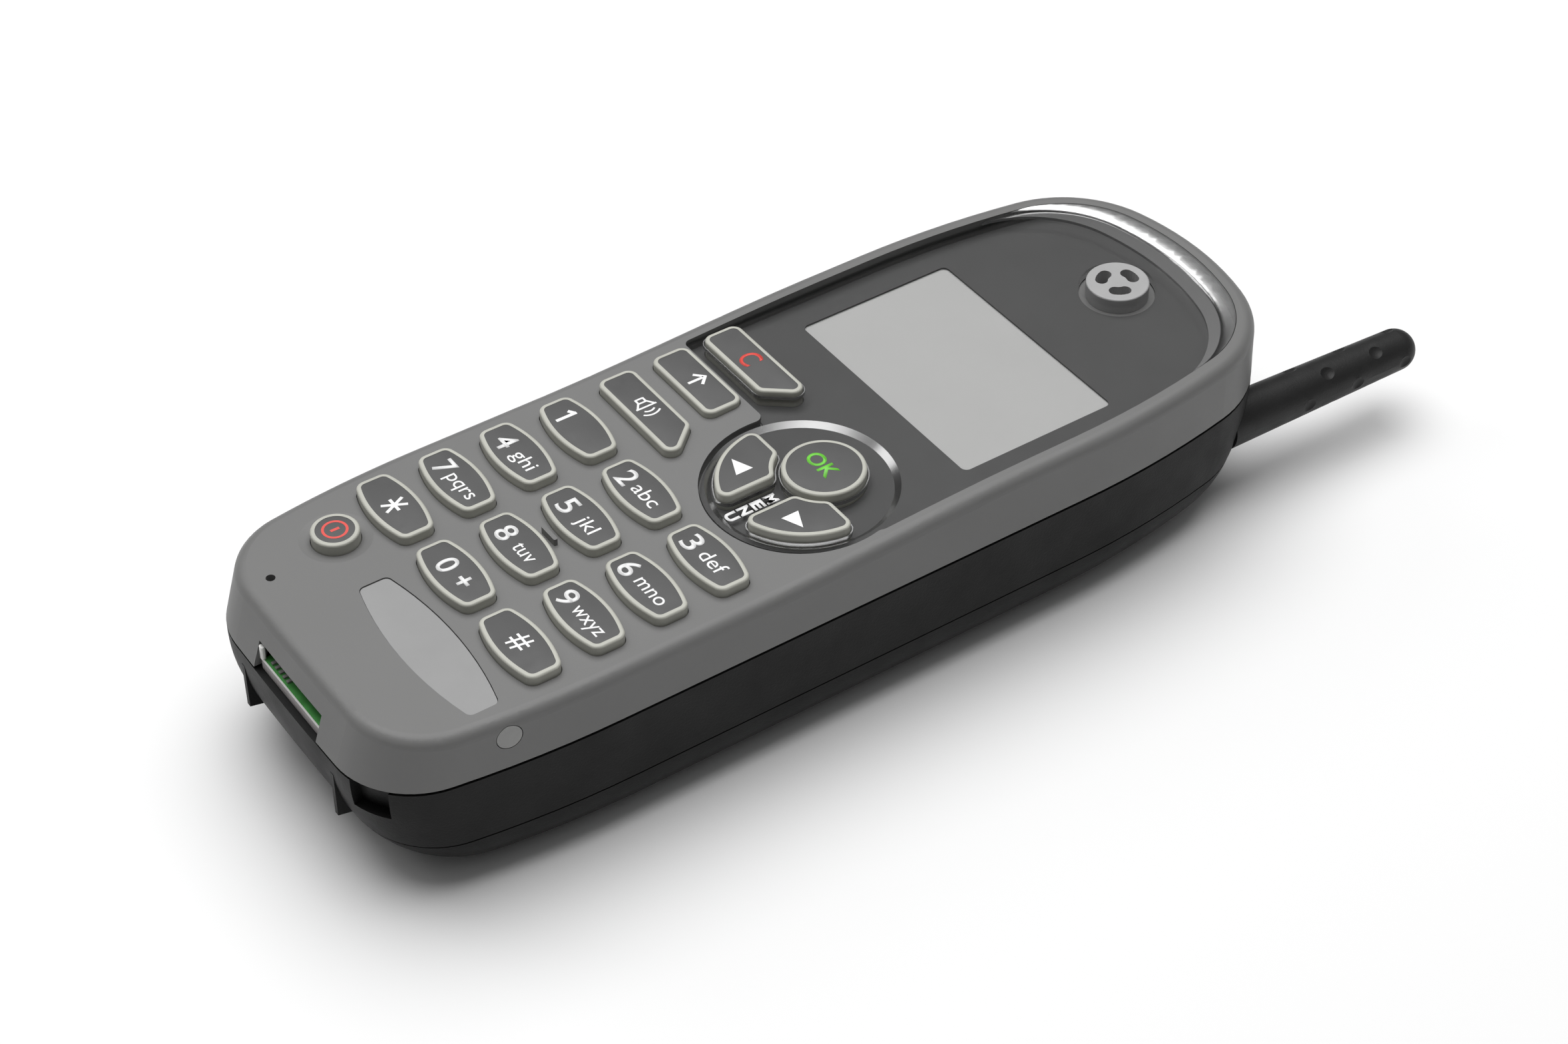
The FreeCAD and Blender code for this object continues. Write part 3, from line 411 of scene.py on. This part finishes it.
def polygon(points):
    bm = bmesh.new()
    bm.faces.new([bm.verts.new((x, y, 0)) for x, y in points])
    return bm


# Key: digit, its left and right; letters, their left and right
DIAL = {
    "key_2": ("2", -4.0, -1.8, "abc", -1.0, 3.6),
    "key_3": ("3", -4.2, -2.0, "def", -0.8, 3.4),
    "key_4": ("4", -3.7, -1.5, "ghi", -0.1, 3.8),
    "key_5": ("5", -3.7, -1.5, "jkl", 0.3, 3.4),
    "key_6": ("6", -4.6, -2.4, "mno", -1.3, 4.1),
    "key_7": ("7", -3.8, -1.6, "pqrs", -1.1, 4.3),
    "key_8": ("8", -3.7, -1.5, "tuv", -0.1, 3.6),
    "key_9": ("9", -4.4, -2.2, "wxyz", -1.4, 4.4),
    "key_0": ("0", -2.7, -0.6, "+", 1.0, 3.0),
}
DIGIT_LOW, DIGIT_HIGH = -1.65, 1.35
LETTER_BASE, LETTER_CAP = -1.05, 1.1
LETTER_RULER = (0.0, 0.735)
PLUS_HALF_HEIGHT = 1.0


def dial_legends():
    one = strokes([((0.3, -1.5), (0.3, 1.5)), ((-0.55, 0.72), (0.3, 1.3))], 0.5)
    key_mark("legend_1", one, "key_1", offset=(-2.75, -0.15))
    for node, (digit, left, right, letters, letters_left, letters_right) in DIAL.items():
        name = node.replace("key_", "legend_")
        key_text(name, digit, node, (left, right, DIGIT_LOW, DIGIT_HIGH))
        if letters == "+":
            box = (letters_left, letters_right, -PLUS_HALF_HEIGHT, PLUS_HALF_HEIGHT)
            key_text(name + "_plus", letters, node, box, bold=0.02)
        else:
            box = (letters_left, letters_right, LETTER_BASE, LETTER_CAP)
            key_text(name + "_letters", letters, node, box, ruler=LETTER_RULER, bold=0.0)


def star_mark():
    return strokes([((-0.75, -1.5), (0.75, 1.5)), ((-0.75, 1.5), (0.75, -1.5)), ((-1.2, 0), (1.2, 0))], 0.42)


def hash_mark():
    return strokes([((-0.75, -1.5), (-0.25, 1.5)), ((0.25, -1.5), (0.75, 1.5)),
                    ((-1.35, -0.5), (1.35, -0.5)), ((-1.35, 0.5), (1.35, 0.5))], 0.33)


def power_mark():
    return joined(ring_arc(1.5, 0.34, 0, 360, 64), strokes([((0, -0.6), (0, 0.6))], 0.42))


def arrow_mark():
    shaft = strokes([((0, -1.3), (0, 1.1))], 0.42)
    head = strokes([((-1.15, 0.15), (0.1, 1.4)), ((1.15, 0.15), (-0.1, 1.4))], 0.42)
    return joined(shaft, head)


def speaker_mark():
    """Loudspeaker outline with two sound waves."""
    outline = strokes([((-1.85, 0.55), (-1.05, 0.55)), ((-1.85, -0.55), (-1.05, -0.55)),
                       ((-1.75, -0.55), (-1.75, 0.55)), ((-1.05, 0.55), (0.05, 1.35)),
                       ((-1.05, -0.55), (0.05, -1.35)), ((0.0, -1.5), (0.0, 1.5)),
                       ((-0.95, -0.6), (-0.95, 0.6))], 0.28)
    near_wave = ring_arc(1.1, 0.26, -42, 42, 12, at=(-0.1, 0))
    far_wave = ring_arc(1.85, 0.26, -42, 42, 16, at=(-0.1, 0))
    return joined(outline, near_wave, far_wave)


def scroll_mark(side):
    """Arrowhead that points left (-1) or right (1)."""
    return polygon([(side * 1.5, 0), (-side * 1.4, 1.25), (-side * 1.4, -1.25)][::side])


# The menu label runs down the gap between the scroll keys, on the floor of the navigation ring
MENU_FIRST_Y, MENU_PITCH = 0.5, 1.95
MENU_LEFT, MENU_RIGHT, MENU_HALF_HEIGHT = -1.15, 0.45, 0.85
MENU_CLEARANCE = 0.02 * MM


def menu_label():
    place = (legend_place("key_scroll_left") + legend_place("key_scroll_right")) / 2
    place.z = NAV_FLOOR + MENU_CLEARANCE
    for index, letter in enumerate("MENU"):
        y = MENU_FIRST_Y - index * MENU_PITCH
        box = (MENU_LEFT, MENU_RIGHT, y - MENU_HALF_HEIGHT, y + MENU_HALF_HEIGHT)
        fitted_text("legend_menu_" + letter.lower(), letter, place, box, "legend_white", "phone", bold=0.045)


def symbol_legends():
    key_mark("legend_star", star_mark(), "key_star")
    key_mark("legend_hash", hash_mark(), "key_hash")
    key_mark("legend_power", power_mark(), "key_power", "legend_red")
    key_mark("legend_arrow", arrow_mark(), "key_arrow", offset=(0.1, 0))
    key_mark("legend_mute", speaker_mark(), "key_mute", offset=(-0.7, 0))
    for side, name in ((-1, "scroll_left"), (1, "scroll_right")):
        key_mark("legend_" + name, scroll_mark(side), "key_" + name, offset=(-side * 0.2, -0.3))
    key_text("legend_clear", "C", "key_clear", (-2.0, 0.3, -1.5, 1.6), "legend_red")
    key_text("legend_ok", "OK", "key_ok", (-3.0, 2.0, -1.15, 1.3), "legend_green", bold=0.02)


# ---- Studio ----------------------------------------------------------------------

FLOOR_HALF_SIDE = 4.0
FLOOR_GAP = 0.1 * MM
# Name, power in watts, diameter and place in metres; each light aims at the origin
LIGHTS = (
    ("overhead", 15.5, 1.35, (-0.24, 0.1, 1.1)),
    ("left_box", 0.55, 0.34, (-0.6, -0.34, 0.5)),
)
# Sine of the elevation in the sky, and its brightness
WORLD_STOPS = ((0.0, 0.03), (0.18, 0.03), (0.5, 0.06), (0.62, 0.3), (1.0, 0.4))
AZIMUTH, ELEVATION, DISTANCE = 55.36, 41.43, 0.41685
TARGET = Vector((0.00238, -0.01226, 0.0135))
FOCAL_LENGTH, SENSOR_WIDTH = 74.708, 36.0


def make_floor():
    bm = bmesh.new()
    bmesh.ops.create_grid(bm, x_segments=2, y_segments=2, size=FLOOR_HALF_SIDE)
    mesh = bpy.data.meshes.new("studio_floor")
    bm.to_mesh(mesh)
    bm.free()
    look = Look("studio_floor", (0.88, 0.88, 0.88), 0.9)
    look.tone(300, 0.01)
    mesh.materials.append(look.material)
    floor = bpy.data.objects.new("studio_floor", mesh)
    floor.location.z = cad_box[0].z - FLOOR_GAP
    bpy.context.scene.collection.objects.link(floor)


def area_light(name, energy, size, place):
    data = bpy.data.lights.new(name, "AREA")
    data.energy = energy
    data.shape = "DISK"
    data.size = size
    light = bpy.data.objects.new(name, data)
    light.location = place
    light.rotation_euler = (-Vector(place)).to_track_quat("-Z", "Y").to_euler()
    bpy.context.scene.collection.objects.link(light)


def make_light():
    world = bpy.data.worlds.new("studio")
    bpy.context.scene.world = world
    world.use_nodes = True
    tree = world.node_tree
    place = tree.nodes.new("ShaderNodeTexCoord")
    split = tree.nodes.new("ShaderNodeSeparateXYZ")
    tree.links.new(place.outputs["Generated"], split.inputs["Vector"])
    ramp = tree.nodes.new("ShaderNodeValToRGB")
    stops = ramp.color_ramp.elements
    for position, _ in WORLD_STOPS[1:-1]:
        stops.new(position)
    for stop, (position, level) in zip(stops, WORLD_STOPS):
        stop.position = position
        stop.color = (level, level, level, 1)
    tree.links.new(split.outputs["Z"], ramp.inputs["Fac"])
    tree.links.new(ramp.outputs["Color"], tree.nodes["Background"].inputs["Color"])
    tree.nodes["Background"].inputs["Strength"].default_value = 1.0
    for name, energy, size, spot in LIGHTS:
        area_light(name, energy, size, spot)


def make_camera():
    azimuth, elevation = math.radians(AZIMUTH), math.radians(ELEVATION)
    outward = Vector((math.cos(elevation) * math.sin(azimuth),
                      -math.cos(elevation) * math.cos(azimuth), math.sin(elevation)))
    data = bpy.data.cameras.new("camera")
    data.lens = FOCAL_LENGTH
    data.sensor_width = SENSOR_WIDTH
    data.clip_start = 0.01
    camera = bpy.data.objects.new("camera", data)
    camera.location = TARGET + outward * DISTANCE
    camera.rotation_euler = (-outward).to_track_quat("-Z", "Y").to_euler()
    bpy.context.scene.collection.objects.link(camera)
    bpy.context.scene.camera = camera


def main():
    dress_cad()
    for node in sorted(NODES):
        if node.startswith("key_"):
            make_inlay(node)
    dial_legends()
    symbol_legends()
    menu_label()
    make_floor()
    make_light()
    make_camera()
    bpy.context.scene.view_settings.view_transform = "Standard"


main()
